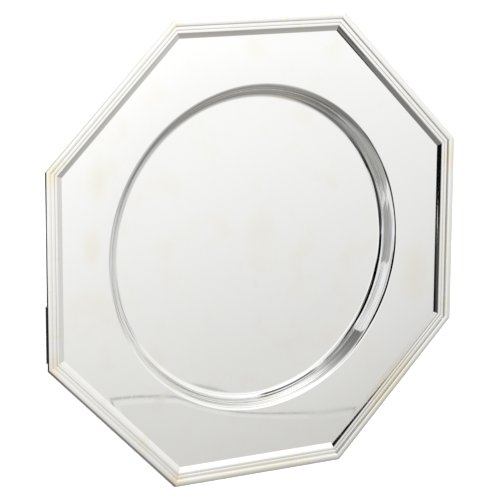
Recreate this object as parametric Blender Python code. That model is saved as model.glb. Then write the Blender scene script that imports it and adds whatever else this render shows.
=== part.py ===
"""Octagonal paten plate, lying flat: a spun sheet plate and its reeded border in eight mitred lengths.

Metres, +Z up. The origin is the centre of the underside that the plate rests on, and +Z is the plate's
axis. The octagon's flat sides face +X, +Y, -X, -Y and the four diagonals. Front is the side at -Y.
"""

import math

import bmesh
import bpy
from mathutils import Matrix, Vector

# Driving dimensions of the plate
SIDES = 8
ACROSS_FLATS = 0.300           # outer edge of the border, side to opposite side
SHEET = 0.0010                 # thickness of the sheet
WELL_DEPTH = 0.0085            # from the flange's top face down to the well's floor
MOUTH_R = 0.1073               # radius where the flat flange starts to roll into the well
BORDER_WIDTH = 0.0120          # moulding, from the toe of its cove to the outer edge
LAP = 0.0062                   # how far the flange reaches in under the moulding
SEAM = 0.0003                  # gap at each lap and mitre

# Bends of the well's wall, from the flange inwards. Between the wall's shoulder and its foot it runs
# straight, for as far as the depth asks.
MOUTH_ROLL_R = 0.0032
SHOULDER_R = 0.0047
FOOT_BEND_R = 0.0010
FLOOR_FILLET_R = 0.0120
SHOULDER_START_SLOPE = math.radians(25)
WALL_SLOPE = math.radians(80)
FILLET_START_SLOPE = math.radians(26)
ROLL_STEPS = 2
SHOULDER_STEPS = 5
FOOT_STEPS = 2
FILLET_STEPS = 3
ROUND_STEPS = 72

# The moulding's section: (distance out from its toe, height above the flange's top face)
SEAT_END = (0.0068, SEAM)
TOE_TOP = (0.0, 0.0006)
COVE_END = (0.0033, 0.0011)
INNER_REED_END = (0.0051, 0.0015)
OUTER_REED_END = (0.0075, 0.0020)
BEAD_END = (BORDER_WIDTH - 0.0004, 0.0024)
EDGE_TOP = (BORDER_WIDTH, 0.0020)
EDGE_FOOT = (BORDER_WIDTH, 0.0010)
EDGE_HEEL = (BORDER_WIDTH - 0.0003, 0.0008)
# How far each stretch stands off its chord: below it for the cove, above it for the rounds
COVE_SAG = -0.0001
REED_RISE = 0.0002
BEAD_RISE = 0.0004
CORNER_RISE = 0.0001
COVE_STEPS = 3
REED_STEPS = 4
BEAD_STEPS = 6
CORNER_STEPS = 2

FLANGE_TOP = SHEET + WELL_DEPTH
TOE_APOTHEM = ACROSS_FLATS / 2 - BORDER_WIDTH
SHEET_APOTHEM = TOE_APOTHEM + LAP
HALF_SIDE_ANGLE = math.pi / SIDES

# The border's lengths, anticlockwise from the side at +X
BORDER_NAMES = (
    "border_right",
    "border_back_right",
    "border_back",
    "border_back_left",
    "border_left",
    "border_front_left",
    "border_front",
    "border_front_right",
)

PLATE_SILVER = (0.90, 0.89, 0.86, 1.0)
BORDER_SILVER = (0.92, 0.90, 0.85, 1.0)
PLATE_ROUGHNESS = 0.08
BORDER_ROUGHNESS = 0.12
MOST_SMOOTHED_ANGLE = math.radians(40)


def clear_scene():
    for obj in list(bpy.data.objects):
        bpy.data.objects.remove(obj, do_unlink=True)


def polished_metal(name, colour, roughness):
    material = bpy.data.materials.new(name)
    material.use_nodes = True
    shader = material.node_tree.nodes["Principled BSDF"]
    shader.inputs["Base Color"].default_value = colour
    shader.inputs["Metallic"].default_value = 1.0
    shader.inputs["Roughness"].default_value = roughness
    material.diffuse_color = colour
    return material


def add_object(name, bm):
    """Make an object from a bmesh, with its faces pointing out and its round faces shaded smooth."""
    bmesh.ops.recalc_face_normals(bm, faces=bm.faces)
    mesh = bpy.data.meshes.new(name)
    bm.to_mesh(mesh)
    bm.free()
    mesh.shade_smooth()
    mesh.set_sharp_from_angle(angle=MOST_SMOOTHED_ANGLE)
    obj = bpy.data.objects.new(name, mesh)
    bpy.context.scene.collection.objects.link(obj)
    return obj


def bend(start, end_slope, radius, steps):
    """Points (r, z, slope) on an arc that runs in and down from start.

    The slope is the angle below horizontal, so an arc whose slope grows turns down, and one whose slope
    shrinks levels out.
    """
    r, z, slope = start
    turn = math.copysign(radius, end_slope - slope)
    points = []
    for step in range(1, steps + 1):
        angle = slope + (end_slope - slope) * step / steps
        run = turn * (math.sin(angle) - math.sin(slope))
        drop = turn * (math.cos(slope) - math.cos(angle))
        points.append((r - run, z - drop, angle))
    return points


def straight_drop():
    """Height of the wall's straight stretch, which takes up the depth that the bends leave."""
    roll_drop = MOUTH_ROLL_R * (1 - math.cos(SHOULDER_START_SLOPE))
    shoulder_drop = SHOULDER_R * (math.cos(SHOULDER_START_SLOPE) - math.cos(WALL_SLOPE))
    foot_drop = FOOT_BEND_R * (math.cos(FILLET_START_SLOPE) - math.cos(WALL_SLOPE))
    fillet_drop = FLOOR_FILLET_R * (1 - math.cos(FILLET_START_SLOPE))
    return WELL_DEPTH - roll_drop - shoulder_drop - foot_drop - fillet_drop


def sheet_top():
    """The sheet's top face as (r, z, slope), from outside the octagon in to the edge of the flat floor."""
    blank_r = SHEET_APOTHEM / math.cos(HALF_SIDE_ANGLE) + BORDER_WIDTH
    points = [(blank_r, FLANGE_TOP, 0.0), (MOUTH_R, FLANGE_TOP, 0.0)]
    points += bend(points[-1], SHOULDER_START_SLOPE, MOUTH_ROLL_R, ROLL_STEPS)
    points += bend(points[-1], WALL_SLOPE, SHOULDER_R, SHOULDER_STEPS)
    shoulder_r, shoulder_z, slope = points[-1]
    points.append((shoulder_r - straight_drop() / math.tan(slope), shoulder_z - straight_drop(), slope))
    points += bend(points[-1], FILLET_START_SLOPE, FOOT_BEND_R, FOOT_STEPS)
    points += bend(points[-1], 0.0, FLOOR_FILLET_R, FILLET_STEPS)
    return points


def spun_blank():
    """The round blank with its well: the sheet's section, spun a full turn about the axis."""
    top = sheet_top()
    section = [(0.0, SHEET)]
    section += [(r, z) for r, z, slope in reversed(top)]
    section += [(r + SHEET * math.sin(slope), z - SHEET * math.cos(slope)) for r, z, slope in top]
    section += [(0.0, 0.0)]
    bm = bmesh.new()
    verts = [bm.verts.new((r, 0, z)) for r, z in section]
    edges = [bm.edges.new(pair) for pair in zip(verts, verts[1:])]
    bmesh.ops.spin(
        bm,
        geom=verts + edges,
        cent=(0, 0, 0),
        axis=(0, 0, 1),
        angle=math.tau,
        steps=ROUND_STEPS,
        use_merge=True,
    )
    bmesh.ops.remove_doubles(bm, verts=bm.verts, dist=0.00001)
    return bm


def octagon_guide():
    """A tall octagonal prism that trims the blank. It isn't part of the plate."""
    corner_r = SHEET_APOTHEM / math.cos(HALF_SIDE_ANGLE)
    bm = bmesh.new()
    bmesh.ops.create_cone(
        bm,
        cap_ends=True,
        segments=SIDES,
        radius1=corner_r,
        radius2=corner_r,
        depth=4 * FLANGE_TOP,
        matrix=Matrix.Rotation(HALF_SIDE_ANGLE, 4, "Z"),
    )
    guide = add_object("octagon_guide", bm)
    guide.hide_render = True
    guide.display_type = "WIRE"
    return guide


def make_plate_body():
    plate = add_object("plate_body", spun_blank())
    trim = plate.modifiers.new("trim_to_octagon", "BOOLEAN")
    trim.operation = "INTERSECT"
    trim.object = octagon_guide()
    plate.data.materials.append(polished_metal("plate_silver", PLATE_SILVER, PLATE_ROUGHNESS))


def arc(start, end, rise, steps):
    """Points after start, up to end, on an arc whose middle stands rise above its chord."""
    chord = math.dist(start, end)
    radius = (chord * chord / 4 + rise * rise) / (2 * rise)
    half_angle = math.asin(chord / 2 / radius)
    along_x = (end[0] - start[0]) / chord
    along_z = (end[1] - start[1]) / chord
    points = []
    for step in range(1, steps + 1):
        angle = half_angle * (2 * step / steps - 1)
        along = chord / 2 + radius * math.sin(angle)
        above = radius * (math.cos(angle) - 1) + rise
        x = start[0] + along * along_x - above * along_z
        z = start[1] + along * along_z + above * along_x
        points.append((x, z))
    return points


def moulding_section():
    """The border's section: a cove, two reeds and the outer bead on a flat seat."""
    points = [SEAT_END, (0.0, SEAM), TOE_TOP]
    points += arc(TOE_TOP, COVE_END, COVE_SAG, COVE_STEPS)
    points += arc(COVE_END, INNER_REED_END, REED_RISE, REED_STEPS)
    points += arc(INNER_REED_END, OUTER_REED_END, REED_RISE, REED_STEPS)
    points += arc(OUTER_REED_END, BEAD_END, BEAD_RISE, BEAD_STEPS)
    points += arc(BEAD_END, EDGE_TOP, CORNER_RISE, CORNER_STEPS)
    points += [EDGE_FOOT, EDGE_HEEL]
    return points


def mitred_length():
    """One border length along Y, its toe at X = 0: the section, extruded and sheared to both mitres."""

    def half_length(x):
        to_corner = (TOE_APOTHEM + x) * math.tan(HALF_SIDE_ANGLE)
        return to_corner - SEAM / 2 / math.cos(HALF_SIDE_ANGLE)

    bm = bmesh.new()
    end_face = bm.faces.new([bm.verts.new((x, -half_length(x), z)) for x, z in moulding_section()])
    extruded = bmesh.ops.extrude_face_region(bm, geom=[end_face])
    for item in extruded["geom"]:
        if isinstance(item, bmesh.types.BMVert):
            item.co.y = half_length(item.co.x)
    return bm


def make_border():
    for index, name in enumerate(BORDER_NAMES):
        turn = Matrix.Rotation(index * 2 * HALF_SIDE_ANGLE, 4, "Z")
        length = add_object(name, mitred_length())
        length.rotation_euler = turn.to_euler()
        length.location = turn @ Vector((TOE_APOTHEM, 0, FLANGE_TOP))
        length.data.materials.append(polished_metal(f"{name}_silver", BORDER_SILVER, BORDER_ROUGHNESS))


clear_scene()
make_plate_body()
make_border()
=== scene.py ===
"""Looks of the octagonal paten plate: polished silver-plated sheet and reeded border in a white studio."""

import math

import bpy
from mathutils import Matrix, Vector


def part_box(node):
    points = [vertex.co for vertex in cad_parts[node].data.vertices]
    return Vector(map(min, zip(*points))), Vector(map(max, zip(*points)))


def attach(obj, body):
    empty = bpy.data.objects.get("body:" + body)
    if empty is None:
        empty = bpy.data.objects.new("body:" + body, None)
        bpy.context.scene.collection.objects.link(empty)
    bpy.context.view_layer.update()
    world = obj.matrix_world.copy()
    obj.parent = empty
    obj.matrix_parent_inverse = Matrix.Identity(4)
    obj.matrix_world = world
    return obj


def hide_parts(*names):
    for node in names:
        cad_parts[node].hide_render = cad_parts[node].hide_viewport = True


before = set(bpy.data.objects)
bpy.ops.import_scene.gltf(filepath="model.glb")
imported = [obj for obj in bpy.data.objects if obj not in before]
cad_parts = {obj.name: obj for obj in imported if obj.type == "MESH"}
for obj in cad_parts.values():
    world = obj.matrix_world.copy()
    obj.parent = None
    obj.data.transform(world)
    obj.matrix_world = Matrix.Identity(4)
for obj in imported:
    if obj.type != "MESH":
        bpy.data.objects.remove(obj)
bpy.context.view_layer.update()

# ---------------------------------------------------------------- sizes, from the frame
MM = 0.001
SIDES = 8
HALF_SIDE = math.pi / SIDES                  # half the angle that one side takes up
WIDER_BORDER = 0.34 * MM                     # how much wider the photo's border is than the CAD's
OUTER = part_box("border_right")[1].x          # apothem of the border's outer edge
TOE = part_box("border_right")[0].x - WIDER_BORDER  # apothem where the border's cove runs out on the flange
FLANGE_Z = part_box("plate_body")[1].z         # top of the flange
SHEET_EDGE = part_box("plate_body")[1].x       # apothem of the sheet's own edge, under the border
LIP_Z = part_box("border_right")[1].z          # top of the border
SHEET = 1.0 * MM                             # thickness of the sheet
HAIRLINE = 0.02 * MM                         # solder line left between touching pieces
CREASE_DEGREES = 14                          # a sharper bend than this shows as an edge


def grey(value, warmth=0.0):
    """A linear grey, a little yellow for a positive warmth and a little blue for a negative one."""
    return (value * (1 + 0.3 * warmth), value, value * (1 - warmth), 1.0)


# ---------------------------------------------------------------- the camera and the studio's fittings

# The camera has a long lens and stands 1.34 m away, to the plate's left and a little above it as the photo
# shows it. Its place and aim are counted in FIT_UNIT from the middle of the flange's top.
FIT_UNIT = OUTER / 0.9810
CAMERA_PLACE = (-4.2843, 1.7642, 7.4294)
CAMERA_AIM = (-0.0400, -0.0010, 0.0)
CAMERA_ROLL_DEGREES = 0.2886
SENSOR_WIDTH = 36.0                          # in mm, as Blender counts it
FOCAL_LENGTH = 150.0                         # in mm too
CLIP_START = 0.05
CLIP_END = 50.0

SUN_FROM = (-0.577, 0.2375, 1.0)
SUN_STRENGTH = 4.0
SUN_WIDTH_DEGREES = 20

# The floor that the plate mirrors lies above the one that the camera sees, so as not to be in its shadow
FLOOR_REACH = 4.0
SEEN_FLOOR_Z = -0.2 * MM
MIRRORED_FLOOR_Z = -0.1 * MM
FLOOR_WHITE = grey(0.86)
FLOOR_ROUGHNESS = 0.9
# The mirrored floor has painted shade that darkens it towards the front right. How far is counted in the
# plate's outer apothems.
DARKER_TOWARDS = (0.5, -0.866)
DARKENING = (-0.8, 0.9)
FLOOR_PAINTED_SHADE = grey(0.28, 0.04)

# ---------------------------------------------------------------- small helpers


def bend(start, end_degrees, radius, steps):
    """Points (r, z, slope) on an arc that runs in and down from start, which is (r, z, slope)."""
    r, z, slope = start
    end_slope = math.radians(end_degrees)
    turn = math.copysign(radius, end_slope - slope)
    points = []
    for step in range(1, steps + 1):
        angle = slope + (end_slope - slope) * step / steps
        run = turn * (math.sin(angle) - math.sin(slope))
        drop = turn * (math.cos(slope) - math.cos(angle))
        points.append((r - run, z - drop, angle))
    return points


def rise_along(points, run, start_degrees, end_degrees, steps):
    """Carries a section outwards from its last point, with a slope that changes evenly along the run."""
    for step in range(steps):
        slope = start_degrees + (end_degrees - start_degrees) * (step + 0.5) / steps
        x, z = points[-1]
        points.append((x + run / steps, z + run / steps * math.tan(math.radians(slope))))


def skin(rings, size):
    """Faces over a row of rings that have size points each, with a cap on the first and on the last."""
    faces = []
    for ring in range(rings - 1):
        a, b = ring * size, (ring + 1) * size
        for i in range(size):
            j = (i + 1) % size
            faces.append((a + i, b + i, b + j, a + j))
    last = (rings - 1) * size
    faces.append(tuple(range(size)))
    faces.append(tuple(last + i for i in reversed(range(size))))
    return faces


def mesh_object(name, points, faces):
    mesh = bpy.data.meshes.new(name)
    mesh.from_pydata(points, [], faces)
    mesh.validate()
    mesh.shade_smooth()
    mesh.set_sharp_from_angle(angle=math.radians(CREASE_DEGREES))
    obj = bpy.data.objects.new(name, mesh)
    bpy.context.scene.collection.objects.link(obj)
    return obj


def finish_piece(obj, nodes, material):
    obj.data.materials.append(material)
    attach(obj, "root")
    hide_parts(*nodes)


# ---------------------------------------------------------------- node graphs


class Graph:
    """Short calls for building a node tree. An input may be a number, a colour or another node's socket."""

    def __init__(self, tree):
        self.tree = tree

    def add(self, kind, inputs=(), **settings):
        made = self.tree.nodes.new(kind)
        for key, value in settings.items():
            setattr(made, key, value)
        for key, value in dict(inputs).items():
            self.put(made.inputs[key], value)
        return made

    def put(self, socket, value):
        if isinstance(value, bpy.types.NodeSocket):
            self.tree.links.new(value, socket)
        else:
            socket.default_value = value

    def math(self, operation, *values):
        return self.add("ShaderNodeMath", dict(enumerate(values)), operation=operation).outputs[0]

    def times(self, first, second):
        return self.math("MULTIPLY", first, second)

    def length(self, first, second):
        """Length of the flat vector that has these two parts."""
        return self.math("SQRT", self.math("ADD", self.times(first, first), self.times(second, second)))

    def ramp(self, value, low, high, out_low=0.0, out_high=1.0, smooth=True):
        """out_low up to low and out_high from high on, with a smooth or a straight change between them."""
        inputs = {"Value": value, "From Min": low, "From Max": high, "To Min": out_low, "To Max": out_high}
        kind = "SMOOTHSTEP" if smooth else "LINEAR"
        return self.add("ShaderNodeMapRange", inputs, interpolation_type=kind).outputs[0]

    def blend(self, share, first, second):
        """A colour that is first where share is 0 and second where it is 1."""
        mixer = self.add("ShaderNodeMix", data_type="RGBA")
        self.put(mixer.inputs[0], share)
        self.put(mixer.inputs[6], first)
        self.put(mixer.inputs[7], second)
        return mixer.outputs[2]

    def parts(self, vector):
        """The x, y and z of a vector."""
        return self.add("ShaderNodeSeparateXYZ", {0: vector}).outputs

    def oval_distance(self, x, y, centre, radii, turn_degrees=0.0):
        """How far a place is from an oval's centre: 1 on the oval itself."""
        c = math.cos(math.radians(turn_degrees))
        s = math.sin(math.radians(turn_degrees))
        dx = self.math("SUBTRACT", x, centre[0])
        dy = self.math("SUBTRACT", y, centre[1])
        u = self.math("ADD", self.times(dx, c / radii[0]), self.times(dy, s / radii[0]))
        v = self.math("ADD", self.times(dx, -s / radii[1]), self.times(dy, c / radii[1]))
        return self.length(u, v)


# ---------------------------------------------------------------- studio

# All these are places on the dome, as Sky counts them. A line is (a place that it passes through, the way
# that it faces in degrees, softness), an area is the lines that it lies between, and an oval is (centre,
# radii, softness, turn in degrees, tone).

# The ceiling's light falls off towards the grey table below: (from y, to y, tone from there up)
LOWEST_TONE = grey(0.27, 0.04)
CEILING_BANDS = (
    (-0.45, -0.27, grey(0.45, 0.04)),
    (-0.27, -0.155, grey(0.70, 0.02)),
    (-0.155, -0.06, grey(1.06)),
    (-0.06, 0.05, grey(1.14)),
)
# It also falls off to the right: (from x, to x, brightness at the first, brightness at the second)
RIGHTWARD_FALL = (0.185, 0.34, 1.11, 0.875)
FAR_RIGHT_AREA = (((0.42, 0.0), 0, 0.08), ((0.0, -0.25), 90, 0.08))
FAR_RIGHT_RISE = (-0.14, 0.0)                # from y, to y, between these tones
FAR_RIGHT_TONES = (grey(0.69), grey(0.84, 0.02))

TABLE_OVALS = (
    ((-0.08, -0.60), (0.26, 0.26), 0.5, 0, grey(0.23, 0.06)),
    ((0.50, -0.66), (0.30, 0.22), 0.5, 0, grey(0.42, 0.05)),
)
LOW_LEFT_AREA = (((-0.08, -0.2), 180, 0.06), ((0.0, -0.10), -90, 0.06))
LOW_LEFT_TONE = grey(0.42, 0.02)
TABLE_STREAK = ((-0.60, -0.42), (0.30, 0.035), 0.6, 20, grey(0.66))

# The softbox ends and the dark gap begins on a line through this place, facing the gap
BOX_EDGE = (-0.13, 0.187)
BOX_EDGE_FACING = 46
GAP_AREA = ((BOX_EDGE, BOX_EDGE_FACING, 0.008), ((0.02, 0.3), 195, 0.14), ((0.0, 0.13), 90, 0.05))
GAP_REACH = (0.90, 0.05)                     # how near the gap comes to the horizon, and how softly it ends
GAP_RISE = (0.0, 0.42)                       # distances from the softbox's edge, between these tones
GAP_TONES = (grey(0.22), grey(0.62))
BOX_AREA = (
    (BOX_EDGE, BOX_EDGE_FACING + 180, 0.008),
    ((-0.05, 0.0), 180, 0.03),
    ((-0.26, -0.28), 107, 0.01),
)
BOX_TONE = grey(0.88, -0.02)
BOX_SHADE_AREA = (((-0.10, -0.04), 260, 0.01), ((-0.10, -0.20), 104, 0.01), ((-0.34, 0.0), 180, 0.05))
BOX_SHADE_TONE = grey(0.46)

# The camera and whoever stands behind it, from the palest shape to the small dark ones on it
CAMERA_OVALS = (
    ((0.06, 0.0), (0.11, 0.10), 0.45, 0, grey(0.67)),
    ((0.12, -0.26), (0.10, 0.09), 0.3, 0, grey(0.21)),
    ((0.055, -0.15), (0.075, 0.09), 0.2, 0, grey(0.075, -0.05)),
    ((0.088, -0.15), (0.035, 0.055), 0.2, 0, grey(0.01)),
    ((0.115, -0.178), (0.018, 0.018), 0.2, 0, grey(0.02)),
    ((0.143, -0.194), (0.016, 0.012), 0.3, 40, grey(0.04)),
    ((0.102, -0.234), (0.014, 0.008), 0.3, 40, grey(0.09)),
)
CAMERA_CORE = ((0.045, -0.03), (0.095, 0.105), 0.05)   # the black middle, an oval cut off by two lines
CAMERA_CORE_CUTS = (((0.0, -0.096), 90, 0.002), ((0.094, 0.036), 196, 0.003))
CAMERA_CORE_TONE = grey(0.004)
GLINT = ((0.062, -0.0945), (0.009, 0.0025), 0.4, 15, grey(0.5))

# A sheet of card on the table. Its sides have no softness of their own, and face inwards. Its brightness is
# (from, to, at the first, at the second), counted inwards from its outline.
CARD_SIDES = (
    ((0.2251, -0.1452), -75.1),
    ((0.2743, -0.1481), -106.0),
    ((0.2251, -0.1452), 0),
    ((0.2872, -0.1529), 180),
)
CARD_TONE = (-0.0002, 0.0002, 1.0, 0.95)
CARD_INNER_TONE = (0.0, 0.007, 1.0, 1.03)
# The bands along its outline: (from, to) where one sets in, (from, to) where it ends, and its brightness
CARD_BANDS = (
    ((0.0003, 0.0006), (0.0016, 0.0022), 1.09),
    ((-0.0008, -0.0004), (0.0, 0.0003), 0.70),
)

HORIZON = (-0.03, 0.0)                       # heights between which the dome gives way to the tone below
BELOW_HORIZON = grey(0.55)


class Sky(Graph):
    """The studio that the plate mirrors, drawn on the dome above it.

    A place on the dome is (x, y) = the direction's own x and y over one plus its z: (0, 0) is straight up
    the plate's axis, and the rim of the unit circle is the horizon.
    """

    def __init__(self, tree):
        super().__init__(tree)
        direction = self.parts(self.add("ShaderNodeTexCoord").outputs["Generated"])
        self.up = direction[2]
        height = self.math("ADD", self.math("MAXIMUM", self.up, 0.0), 1.0)
        self.x = self.math("DIVIDE", direction[0], height)
        self.y = self.math("DIVIDE", direction[1], height)

    def line(self, through, facing_degrees):
        """Distance from a line, positive on the side that it faces."""
        nx = math.cos(math.radians(facing_degrees))
        ny = math.sin(math.radians(facing_degrees))
        along = self.math("ADD", self.times(self.x, nx), self.times(self.y, ny))
        return self.math("SUBTRACT", along, through[0] * nx + through[1] * ny)

    def side(self, through, facing_degrees, soft):
        """1 on the side of a line that it faces, 0 on the other."""
        return self.ramp(self.line(through, facing_degrees), -soft, soft)

    def oval(self, centre, radii, soft, turn_degrees=0.0):
        """1 inside an oval, 0 outside. soft is the width of its edge, as a share of its radii."""
        far = self.oval_distance(self.x, self.y, centre, radii, turn_degrees)
        return self.ramp(far, 1 - soft, 1 + soft, 1.0, 0.0)

    def area(self, lines, share=1.0):
        """share on the facing side of all the lines, 0 elsewhere."""
        for through, facing_degrees, soft in lines:
            share = self.times(share, self.side(through, facing_degrees, soft))
        return share

    def scale(self, colour, factor):
        return self.add("ShaderNodeVectorMath", {0: colour, "Scale": factor}, operation="SCALE").outputs[0]

    def draw_ovals(self, tone, ovals):
        """Lays ovals over a tone, one after the other."""
        for centre, radii, soft, turn_degrees, oval_tone in ovals:
            tone = self.blend(self.oval(centre, radii, soft, turn_degrees), tone, oval_tone)
        return tone


def draw_ceiling(sky):
    tone = LOWEST_TONE
    for low, high, next_tone in CEILING_BANDS:
        tone = sky.blend(sky.ramp(sky.y, low, high, smooth=False), tone, next_tone)
    tone = sky.scale(tone, sky.ramp(sky.x, *RIGHTWARD_FALL, smooth=False))
    far_tone = sky.blend(sky.ramp(sky.y, *FAR_RIGHT_RISE), *FAR_RIGHT_TONES)
    return sky.blend(sky.area(FAR_RIGHT_AREA), tone, far_tone)


def draw_table(sky, tone):
    tone = sky.draw_ovals(tone, TABLE_OVALS)
    tone = sky.blend(sky.area(LOW_LEFT_AREA), tone, LOW_LEFT_TONE)
    return sky.draw_ovals(tone, [TABLE_STREAK])


def draw_softbox(sky, tone):
    """The big softbox on the left, and the dark gap between it and the ceiling."""
    reach, soft = GAP_REACH
    gap = sky.times(sky.area(GAP_AREA), sky.oval((0.0, 0.0), (reach, reach), soft))
    gap_tone = sky.blend(sky.ramp(sky.line(BOX_EDGE, BOX_EDGE_FACING), *GAP_RISE), *GAP_TONES)
    tone = sky.blend(gap, tone, gap_tone)
    box = sky.area(BOX_AREA)
    tone = sky.blend(box, tone, BOX_TONE)
    return sky.blend(sky.times(sky.area(BOX_SHADE_AREA), box), tone, BOX_SHADE_TONE)


def draw_camera(sky, tone):
    tone = sky.draw_ovals(tone, CAMERA_OVALS)
    core = sky.area(CAMERA_CORE_CUTS, sky.oval(*CAMERA_CORE))
    tone = sky.blend(core, tone, CAMERA_CORE_TONE)
    return sky.draw_ovals(tone, [GLINT])


def draw_card(sky, tone):
    """The sheet of card, with a thin dark edge and a light one just inside it."""
    inside = sky.line(*CARD_SIDES[0])
    for through, facing_degrees in CARD_SIDES[1:]:
        inside = sky.math("MINIMUM", inside, sky.line(through, facing_degrees))
    tone = sky.scale(tone, sky.ramp(inside, *CARD_TONE, smooth=False))
    tone = sky.scale(tone, sky.ramp(inside, *CARD_INNER_TONE))
    for sets_in, ends, brightness in CARD_BANDS:
        band = sky.times(sky.ramp(inside, *sets_in), sky.ramp(inside, *ends, 1.0, 0.0))
        tone = sky.scale(tone, sky.ramp(band, 0.0, 1.0, 1.0, brightness))
    return tone


def make_world():
    world = bpy.data.worlds.new("studio_world")
    bpy.context.scene.world = world
    world.use_nodes = True
    tree = world.node_tree
    tree.nodes.clear()
    sky = Sky(tree)
    tone = draw_ceiling(sky)
    tone = draw_table(sky, tone)
    tone = draw_softbox(sky, tone)
    tone = draw_camera(sky, tone)
    tone = draw_card(sky, tone)
    tone = sky.blend(sky.ramp(sky.up, *HORIZON), BELOW_HORIZON, tone)
    lit = sky.add("ShaderNodeBackground", {"Color": tone, "Strength": 1.0})
    out = sky.add("ShaderNodeOutputWorld")
    tree.links.new(lit.outputs[0], out.inputs[0])


def studio_matt(name):
    """A matt white that only shows from its upper side."""
    material = bpy.data.materials.new(name)
    material.use_nodes = True
    graph = Graph(material.node_tree)
    shader = material.node_tree.nodes["Principled BSDF"]
    shader.inputs["Base Color"].default_value = FLOOR_WHITE
    shader.inputs["Roughness"].default_value = FLOOR_ROUGHNESS
    shader.inputs["Specular IOR Level"].default_value = 0.0
    behind = graph.add("ShaderNodeNewGeometry").outputs["Backfacing"]
    clear = graph.add("ShaderNodeBsdfTransparent").outputs[0]
    upper = graph.add("ShaderNodeMixShader", {0: behind, 1: shader.outputs[0], 2: clear})
    graph.put(material.node_tree.nodes["Material Output"].inputs["Surface"], upper.outputs[0])
    return material


def wide_sheet(name, z, material):
    """A one-sided sheet, so that it doesn't hide the plate from below."""
    reach = FLOOR_REACH
    corners = [(-reach, -reach, z), (reach, -reach, z), (reach, reach, z), (-reach, reach, z)]
    sheet = mesh_object(name, corners, [(0, 1, 2, 3)])
    sheet.data.materials.append(material)
    return sheet


def make_floor():
    """A white table top, and the one that the plate mirrors instead of it, with painted shade that darkens
    it unevenly.
    """
    seen = wide_sheet("studio_floor", SEEN_FLOOR_Z, studio_matt("studio_white"))
    seen.visible_glossy = False

    uneven = studio_matt("studio_painted_shade_white")
    graph = Graph(uneven.node_tree)
    place = graph.parts(graph.add("ShaderNodeTexCoord").outputs["Object"])
    x_share = graph.times(place[0], DARKER_TOWARDS[0] / OUTER)
    y_share = graph.times(place[1], DARKER_TOWARDS[1] / OUTER)
    # painted shade: the mirrored floor's white darkens towards the front right
    away = graph.ramp(graph.math("ADD", x_share, y_share), *DARKENING, smooth=False)
    shade = graph.blend(away, FLOOR_WHITE, FLOOR_PAINTED_SHADE)
    graph.put(uneven.node_tree.nodes["Principled BSDF"].inputs["Base Color"], shade)
    mirrored = wide_sheet("studio_floor_mirrored", MIRRORED_FLOOR_Z, uneven)
    mirrored.visible_camera = False
    mirrored.visible_diffuse = False
    mirrored.visible_shadow = False


def make_sun():
    data = bpy.data.lights.new("key", "SUN")
    data.energy = SUN_STRENGTH
    data.angle = math.radians(SUN_WIDTH_DEGREES)
    key = bpy.data.objects.new("key", data)
    bpy.context.scene.collection.objects.link(key)
    key.rotation_mode = "QUATERNION"
    key.rotation_quaternion = Vector(SUN_FROM).to_track_quat("Z", "Y")
    key.visible_glossy = False


def make_camera():
    """The camera, with the plate's +Y side up in its view."""
    data = bpy.data.cameras.new("camera")
    data.sensor_width = SENSOR_WIDTH
    data.lens = FOCAL_LENGTH
    data.clip_start = CLIP_START
    data.clip_end = CLIP_END
    camera = bpy.data.objects.new("camera", data)
    bpy.context.scene.collection.objects.link(camera)
    bpy.context.scene.camera = camera
    flange_middle = Vector((0, 0, FLANGE_Z))
    place = Vector(CAMERA_PLACE) * FIT_UNIT + flange_middle
    aim = Vector(CAMERA_AIM) * FIT_UNIT + flange_middle
    back = (place - aim).normalized()
    up = (Vector((0, 1, 0)) - back * back.y).normalized()
    up.rotate(Matrix.Rotation(math.radians(CAMERA_ROLL_DEGREES), 3, back))
    right = up.cross(back)
    turned = Matrix((right, up, back)).transposed().to_4x4()
    camera.matrix_world = Matrix.Translation(place) @ turned


# ---------------------------------------------------------------- silver

CLEAN_SHEET = (0.935, 0.935, 0.925, 1)
CREAM_TARNISH = (0.90, 0.865, 0.745, 1)
CLEAN_BORDER = (0.935, 0.93, 0.91, 1)
GOLD_TARNISH = (0.93, 0.865, 0.69, 1)
FOOT_NEAR_BLACK = (0.03, 0.035, 0.045, 1)
RING_GRIME = (0.36, 0.36, 0.345, 1)
# painted reflection: the near black painted on the outer rim at -X
PAINTED_REFLECTION_BLACK = (0.02, 0.02, 0.022, 1)

# What makes the mirror duller, and by how much where it is full
SHEET_ROUGHNESS = 0.012
SMEAR_ROUGHNESS = 0.02
LINE_ROUGHNESS = 0.035
FOOT_DARK_ROUGHNESS = 0.25
SPECK_ROUGHNESS = 0.02
BORDER_ROUGHNESS = 0.03
STREAK_ROUGHNESS = 0.015
BORDER_LINE_ROUGHNESS = 0.06
PAINTED_REFLECTION_ROUGHNESS = 0.3
WEAR_ROUGHNESS = 0.12

# Heights in the bump, as shares of its distance. The sheet's rings and waves have one for the flats and one
# for the well's wall.
BUMP_DISTANCE = 0.1 * MM
RING_HEIGHTS = (0.0004, 0.40)
WAVE_HEIGHTS = (0.02, 0.6)
LINE_DEPTH = 0.004
BORDER_WAVE_HEIGHT = 0.12
BORDER_LINE_DEPTH = 0.006

# A noise is (scale per metre, detail, roughness). Levels are where it starts to show and where it is full.
NOISE_ROUGHNESS = 0.55
MOTTLE_NOISE = (38.0, 4.0, NOISE_ROUGHNESS)
MOTTLE_LEVELS = (0.50, 0.72)
MOTTLE_CREAM = 0.35                          # how strong the cream is in the mottling
SPECK_NOISE = (150.0, 2.0, NOISE_ROUGHNESS)
SPECK_LEVELS = (0.42, 0.56)
SMEAR_NOISE = (22.0, 5.0, 0.6)
SMEAR_LEVELS = (0.50, 0.70)
WAVE_NOISE = (55.0, 1.0, NOISE_ROUGHNESS)
PATCH_EDGE_NOISE = (260.0, 3.0, NOISE_ROUGHNESS)
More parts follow.
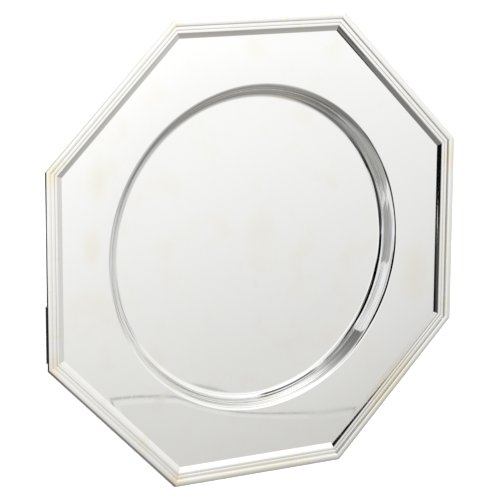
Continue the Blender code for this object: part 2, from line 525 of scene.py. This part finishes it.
# Turning rings follow the depth and this share of the radius, and drift a little along the wall
RING_RADIUS_SHARE = 0.4
RING_NOISE = (1500.0, 1.0, NOISE_ROUGHNESS)
RING_DRIFT = 0.02
FINE_RING_NOISE = (2200.0, 2.0, 0.7)
FINE_RING_DRIFT = 0.008
FINE_RING_LEVELS = (0.50, 0.64)
RING_GRIME_SHARE = 0.8
# Polishing lines: (turn in degrees, scale per metre, about the share left out)
SHEET_SCRATCHES = ((31, 2600.0, 0.66), (-58, 2100.0, 0.68))
BORDER_SCRATCHES = (12, 2400.0, 0.66)
SCRATCH_STRETCH = (1.0, 0.012, 0.012)
SCRATCH_EDGE = 0.04
# On the border noises are scaled per metre out from the toe, per metre along and from length to length
STREAK_SCALES = (60.0, 620.0, 10.0)
STREAK_NOISE = (1.0, 3.0, 0.6)
STREAK_TINT_LEVELS = (0.40, 0.62)
STREAK_DULL_LEVELS = (0.45, 0.70)
TINT_SCALES = (50.0, 75.0, 10.0)
TINT_NOISE = (1.0, 3.0, NOISE_ROUGHNESS)
TINT_LEVELS = (0.48, 0.68)
TINT_GOLD = 0.55                             # how strong the gold is in the tinted streaks
BORDER_WAVE_SCALES = (40.0, 130.0, 10.0)
BORDER_WAVE_NOISE = (1.0, 2.0, NOISE_ROUGHNESS)

# Where tarnish shows, in mm on the plate: (centre, radii, how strong), and how ragged its edges are
CREAM_RAGGED = 0.5
GOLD_RAGGED = 0.8
CREAM_PATCHES = (
    ((-118, 12), (9, 16), 0.55),
    ((7, 10), (16, 20), 0.35),
    ((26, 96), (14, 5), 0.5),
    ((121, -28), (15, 27), 0.5),
    ((-113, 54), (10, 18), 0.6),
)
GOLD_PATCHES = (
    ((147, 50), (7, 16), 0.8),
    ((105, -105), (40, 40), 0.6),
    ((0, -146), (60, 6), 0.4),
    ((144, -10), (6, 44), 0.3),
    ((-62, -146), (14, 9), 0.8),
    ((-62, 147), (10, 7), 0.5),
    ((-146, 60), (9, 14), 0.9),
    ((-146, -60), (8, 12), 0.7),
)
# Near-black streaks in the corner at the foot of the well's wall: between which radii in mm, and (from, to,
# how strong) along it in degrees from +X
FOOT_RING = (99.6, 100.6)
FOOT_STREAKS = (
    (-86, -61, 0.95),
    (-56, -38, 0.7),
)
WALL_BAND = (97.5, 106.2)                    # radii in mm between which the rings and waves are deep
# A painted dark reflection, near black, on the outer edge at -X
EDGE_PAINTED_REFLECTION = ((-150, -39), (6, 19))          # centre and radii in mm, on the outer edge at -X
PAINTED_REFLECTION_FULL = 0.9                             # the share of its radii that the painted reflection fills evenly
# Distances out from the border's toe in mm, over which the painted dark reflection and the worn edge set in
PAINTED_REFLECTION_STARTS = (11.5, 11.6)
WEAR_STARTS = (11.9, 12.1)
SOFT_END = 0.1                               # a band's soft ends, as a share of its width


class Silver(Graph):
    """Polished silver plate: a mirror with faint smears, fine scratches and cream or gold tarnish."""

    def __init__(self, name):
        material = bpy.data.materials.new(name)
        material.use_nodes = True
        super().__init__(material.node_tree)
        self.material = material
        self.shader = material.node_tree.nodes["Principled BSDF"]
        self.put(self.shader.inputs["Metallic"], 1.0)
        self.place = self.add("ShaderNodeTexCoord").outputs["Object"]
        self.x, self.y, self.z = self.parts(self.place)

    def stretched(self, vector, scale):
        return self.add("ShaderNodeVectorMath", {0: vector, 1: scale}, operation="MULTIPLY").outputs[0]

    def noise(self, vector, scale, detail, roughness):
        inputs = {"Vector": vector, "Scale": scale, "Detail": detail, "Roughness": roughness}
        return self.add("ShaderNodeTexNoise", inputs).outputs["Fac"]

    def patch(self, centre, radii, ragged=0.0, full=0.2):
        """An oval on the plate, sized in mm: 1 out to the share full of its radii, then falling to 0."""
        centre = [c * MM for c in centre]
        radii = [r * MM for r in radii]
        far = self.oval_distance(self.x, self.y, centre, radii)
        if ragged:
            wobble = self.math("SUBTRACT", self.noise(self.place, *PATCH_EDGE_NOISE), 0.5)
            far = self.math("ADD", far, self.times(wobble, ragged))
        return self.ramp(far, full, 1.0, 1.0, 0.0)

    def add_patches(self, cover, patches, ragged):
        """Spreads patches over what is covered already; the stronger of the two shows."""
        for centre, radii, strength in patches:
            patch = self.times(self.patch(centre, radii, ragged), strength)
            cover = self.math("MAXIMUM", cover, patch)
        return cover

    def add_up(self, *values):
        total = values[0]
        for value in values[1:]:
            total = self.math("ADD", total, value)
        return total

    def between(self, value, low, high):
        """1 between low and high, with soft ends."""
        soft = (high - low) * SOFT_END
        rising = self.ramp(value, low - soft, low + soft)
        return self.times(rising, self.ramp(value, high - soft, high + soft, 1.0, 0.0))

    def scratches(self, turn_degrees, scale, left_out):
        """Fine lines that run one way: 1 on a line. left_out is about the share of the lines left out."""
        inputs = {"Vector": self.place, "Angle": math.radians(turn_degrees)}
        turned = self.add("ShaderNodeVectorRotate", inputs).outputs[0]
        drawn_out = self.stretched(turned, SCRATCH_STRETCH)
        lines = self.noise(drawn_out, scale, 1.0, NOISE_ROUGHNESS)
        return self.ramp(lines, left_out, left_out + SCRATCH_EDGE)

    def rings(self, down, drift, noise):
        """A noise in level rings, with down as the way across them."""
        drifted = self.add("ShaderNodeCombineXYZ", {0: down, 1: self.times(self.y, drift)})
        return self.noise(drifted.outputs[0], *noise)

    def finish(self, colour, roughness, height):
        self.put(self.shader.inputs["Base Color"], colour)
        self.put(self.shader.inputs["Roughness"], roughness)
        bump = self.add("ShaderNodeBump", {"Height": height, "Distance": BUMP_DISTANCE, "Strength": 1.0})
        self.put(self.shader.inputs["Normal"], bump.outputs[0])
        return self.material


def make_plate_silver():
    silver = Silver("plate_silver")
    r = silver.length(silver.x, silver.y)

    # cream tarnish, in a few soft patches over a faint mottling
    mottle = silver.ramp(silver.noise(silver.place, *MOTTLE_NOISE), *MOTTLE_LEVELS)
    cream = silver.add_patches(silver.times(mottle, MOTTLE_CREAM), CREAM_PATCHES, CREAM_RAGGED)
    colour = silver.blend(cream, CLEAN_SHEET, CREAM_TARNISH)

    # near-black streaks, in the corner at the wall's foot
    heading = silver.math("ARCTAN2", silver.y, silver.x)
    foot_dark = 0.0
    for start, end, strength in FOOT_STREAKS:
        streak = silver.between(heading, math.radians(start), math.radians(end))
        foot_dark = silver.math("MAXIMUM", foot_dark, silver.times(streak, strength))
    foot_dark = silver.times(foot_dark, silver.between(r, FOOT_RING[0] * MM, FOOT_RING[1] * MM))
    colour = silver.blend(foot_dark, colour, FOOT_NEAR_BLACK)

    # turning rings, deepest on the wall of the well, where they hold a little grime
    on_wall = silver.between(r, WALL_BAND[0] * MM, WALL_BAND[1] * MM)
    down = silver.math("ADD", silver.times(r, RING_RADIUS_SHARE), silver.z)
    rings = silver.rings(down, RING_DRIFT, RING_NOISE)
    fine_rings = silver.ramp(silver.rings(down, FINE_RING_DRIFT, FINE_RING_NOISE), *FINE_RING_LEVELS)
    ring_grime = silver.times(fine_rings, silver.times(on_wall, RING_GRIME_SHARE))
    colour = silver.blend(ring_grime, colour, RING_GRIME)

    # finger smears, polishing lines, specks and the dark streaks at the wall's foot, which make the mirror
    # a little duller
    smears = silver.ramp(silver.noise(silver.place, *SMEAR_NOISE), *SMEAR_LEVELS)
    lines = silver.math("MAXIMUM", *[silver.scratches(*way) for way in SHEET_SCRATCHES])
    specks = silver.ramp(silver.noise(silver.place, *SPECK_NOISE), *SPECK_LEVELS)
    rough = silver.add_up(
        SHEET_ROUGHNESS,
        silver.times(smears, SMEAR_ROUGHNESS),
        silver.times(lines, LINE_ROUGHNESS),
        silver.times(foot_dark, FOOT_DARK_ROUGHNESS),
        silver.times(silver.times(specks, mottle), SPECK_ROUGHNESS),
    )

    # rings and waviness, slight on the flats and deeper on the wall
    waves = silver.noise(silver.place, *WAVE_NOISE)
    height = silver.add_up(
        silver.times(rings, silver.ramp(on_wall, 0.0, 1.0, *RING_HEIGHTS, smooth=False)),
        silver.times(waves, silver.ramp(on_wall, 0.0, 1.0, *WAVE_HEIGHTS, smooth=False)),
        silver.times(lines, -LINE_DEPTH),
    )
    return silver.finish(colour, rough, height)


def make_border_silver():
    silver = Silver("border_silver")
    lie = silver.add("ShaderNodeAttribute", attribute_name="lie").outputs["Vector"]
    out = silver.parts(lie)[0]

    # polishing streaks run across the border, and tints of gold follow them
    streaks = silver.noise(silver.stretched(lie, STREAK_SCALES), *STREAK_NOISE)
    tint = silver.noise(silver.stretched(lie, TINT_SCALES), *TINT_NOISE)
    gold = silver.times(silver.ramp(tint, *TINT_LEVELS), silver.ramp(streaks, *STREAK_TINT_LEVELS))
    gold = silver.add_patches(silver.times(gold, TINT_GOLD), GOLD_PATCHES, GOLD_RAGGED)
    colour = silver.blend(gold, CLEAN_BORDER, GOLD_TARNISH)
    # painted reflection: near black on the outer rim at -X, and a little duller there
    on_edge = silver.ramp(out, PAINTED_REFLECTION_STARTS[0] * MM, PAINTED_REFLECTION_STARTS[1] * MM)
    painted_reflection = silver.times(silver.patch(*EDGE_PAINTED_REFLECTION, full=PAINTED_REFLECTION_FULL), on_edge)
    colour = silver.blend(painted_reflection, colour, PAINTED_REFLECTION_BLACK)

    lines = silver.scratches(*BORDER_SCRATCHES)
    worn = silver.ramp(out, WEAR_STARTS[0] * MM, WEAR_STARTS[1] * MM)
    rough = silver.add_up(
        BORDER_ROUGHNESS,
        silver.times(silver.ramp(streaks, *STREAK_DULL_LEVELS), STREAK_ROUGHNESS),
        silver.times(lines, BORDER_LINE_ROUGHNESS),
        silver.times(painted_reflection, PAINTED_REFLECTION_ROUGHNESS),
        silver.times(worn, WEAR_ROUGHNESS),
    )
    waves = silver.noise(silver.stretched(lie, BORDER_WAVE_SCALES), *BORDER_WAVE_NOISE)
    waves = silver.times(waves, BORDER_WAVE_HEIGHT)
    height = silver.math("ADD", waves, silver.times(lines, -BORDER_LINE_DEPTH))
    return silver.finish(colour, rough, height)


# ---------------------------------------------------------------- pieces

ROUND_STEPS = 384                            # points in each ring of the sheet
MOUTH_R = 106.93 * MM                        # radius where the flat flange starts to roll into the well
WALL_SLOPE = 82                              # in degrees, like all the slopes here
# Bends of the well's section, from the flange inwards: (slope at the end, radius in mm, steps)
MOUTH_BENDS = ((10, 3.0, 5), (22, 9.0, 8), (58, 5.9, 18))
FOOT_BENDS = ((24, 0.6, 12), (9, 11.0, 16), (0, 6.0, 10))
WALL_SHARES = (0.0, 0.25, 0.5, 0.75)         # where the wall's straight part has rings
FLOOR_SHARES = (0.02, 0.25, 0.5, 0.75)       # where the flat floor has rings, inside its own edge

# The moulding's top, from its toe outwards: (run, slope at the start, slope at the end, steps). All its
# places are in mm, as (distance out from the toe, height above the flange).
MOULDING_TOE = (0.0, 0.03)
COVE_AND_REEDS = (
    (3.12, 12, 16, 8),                       # cove
    (0.26, 48, 48, 1),                       # arris, up to the inner reed
    (0.12, 42, 3.5, 4),                      # inner reed
    (1.60, 3.5, -1.5, 8),
    (0.05, -12, -12, 1),                     # groove
    (0.18, 48, 48, 1),                       # arris, up to the outer reed
    (0.12, 42, 3.5, 4),                      # outer reed
    (2.00, 3.5, -1.5, 10),
    (0.08, -45, -45, 1),                     # groove
)
BEAD_RISER = 0.42                            # run of the riser from the last groove to the bead
BEAD = (
    (0.20, 45, 5, 5),
    (1.20, 5, 2, 6),
    (2.70, 2, -8, 12),
)
OUTER_RIM = (-66, -82, 6)                    # slopes and steps, over the run that is left
RIM_FOOT_Z = 0.95
HEEL = (11.7, 0.8)                           # under the outer rim
SEAT_OUT = 6.6                               # how far out the seat on the flange reaches
ALONG_STEPS = 40                             # steps along a length, from mitre to mitre
STREAK_SHIFT = 0.37                          # sets each length's streaks apart from its neighbours'

BORDER_NAMES = ("right", "back_right", "back", "back_left", "left", "front_left", "front", "front_right")


def sheet_top():
    """The sheet's top face as (r, z, slope below horizontal), from the mouth in to the flat floor.

    The wall runs straight from its shoulder's crease to its foot, as far down as the bends leave.
    """
    points = [(MOUTH_R, FLANGE_Z, 0.0)]
    for end_degrees, radius, steps in MOUTH_BENDS:
        points += bend(points[-1], end_degrees, radius * MM, steps)
    foot = [(0.0, 0.0, math.radians(WALL_SLOPE))]
    for end_degrees, radius, steps in FOOT_BENDS:
        foot += bend(foot[-1], end_degrees, radius * MM, steps)
    r, z = points[-1][:2]
    wall_slope = foot[0][2]
    drop = z - SHEET + foot[-1][1]
    run = drop / math.tan(wall_slope)
    for share in WALL_SHARES:
        points.append((r - run * share, z - drop * share, wall_slope))
    points += [(r - run + x, z - drop + y, angle) for x, y, angle in foot]
    return points


def octagon_r(apothem, angle):
    """Distance from the axis to the octagon's side in a direction."""
    off = (angle + HALF_SIDE) % (2 * HALF_SIDE) - HALF_SIDE
    return apothem / math.cos(off)


def ring_of(distance, z):
    """A ring of points round the axis, with distance as a function of the direction."""
    angles = [math.tau * i / ROUND_STEPS for i in range(ROUND_STEPS)]
    return [(distance(a) * math.cos(a), distance(a) * math.sin(a), z) for a in angles]


def round_ring(r, z):
    return ring_of(lambda angle: r, z)


def octagon_ring(apothem, z):
    return ring_of(lambda angle: octagon_r(apothem, angle), z)


def make_plate():
    top = sheet_top()
    floor_r, floor_z = top[-1][:2]
    rings = [round_ring(floor_r * share, floor_z) for share in FLOOR_SHARES]
    rings += [round_ring(r, z) for r, z, slope in reversed(top)]
    rings.append(octagon_ring(TOE, FLANGE_Z))
    rings.append(octagon_ring(SHEET_EDGE, FLANGE_Z))
    rings.append(octagon_ring(SHEET_EDGE, FLANGE_Z - SHEET))
    rings.append(octagon_ring(TOE, FLANGE_Z - SHEET))
    for r, z, slope in top:
        rings.append(round_ring(r + SHEET * math.sin(slope), z - SHEET * math.cos(slope)))
    rings += [round_ring(floor_r * share, floor_z - SHEET) for share in reversed(FLOOR_SHARES)]
    points = [point for ring in rings for point in ring]
    return mesh_object("plate_sheet", points, skin(len(rings), ROUND_STEPS))


def moulding():
    """The moulding's section as (distance out from the toe, height above the flange)."""
    width = (OUTER - TOE) / MM
    lip = (LIP_Z - FLANGE_Z) / MM
    seat_z = HAIRLINE / MM
    top = [MOULDING_TOE]
    for run, start_degrees, end_degrees, steps in COVE_AND_REEDS:
        rise_along(top, run, start_degrees, end_degrees, steps)
    bead = [(top[-1][0] + BEAD_RISER, 0.0)]
    for run, start_degrees, end_degrees, steps in BEAD:
        rise_along(bead, run, start_degrees, end_degrees, steps)
    rise_along(bead, width - bead[-1][0], *OUTER_RIM)
    raised = lip - max(z for x, z in bead)
    outline = [HEEL, (SEAT_OUT, seat_z), (0.0, seat_z)]
    outline += top + [(x, z + raised) for x, z in bead] + [(width, RIM_FOOT_Z)]
    return [(x * MM, z * MM) for x, z in outline]


def make_border_length(index, name):
    """One mitred length of the border.

    Its attribute "lie" is each point's distance out from the toe, its place along the side, and a value
    that sets the lengths apart.
    """
    section = moulding()
    turn = index * 2 * HALF_SIDE
    cos_turn, sin_turn = math.cos(turn), math.sin(turn)
    points = []
    lie = []
    for step in range(ALONG_STEPS + 1):
        share = 2 * step / ALONG_STEPS - 1
        for x, z in section:
            apothem = TOE + x
            half = apothem * math.tan(HALF_SIDE) - HAIRLINE / 2 / math.cos(HALF_SIDE)
            along = share * half
            turned_x = apothem * cos_turn - along * sin_turn
            turned_y = apothem * sin_turn + along * cos_turn
            points.append((turned_x, turned_y, FLANGE_Z + z))
            lie.append((x, along, index * STREAK_SHIFT))
    length = mesh_object(f"moulding_{name}", points, skin(ALONG_STEPS + 1, len(section)))
    layer = length.data.attributes.new("lie", "FLOAT_VECTOR", "POINT")
    layer.data.foreach_set("vector", [value for place in lie for value in place])
    return length


make_camera()
make_world()
make_floor()
make_sun()

plate_silver = make_plate_silver()
border_silver = make_border_silver()
finish_piece(make_plate(), ["plate_body"], plate_silver)
for number, side_name in enumerate(BORDER_NAMES):
    piece = make_border_length(number, side_name)
    finish_piece(piece, [f"border_{side_name}"], border_silver)

bpy.context.scene.view_settings.view_transform = "Standard"
bpy.context.scene.view_settings.look = "None"
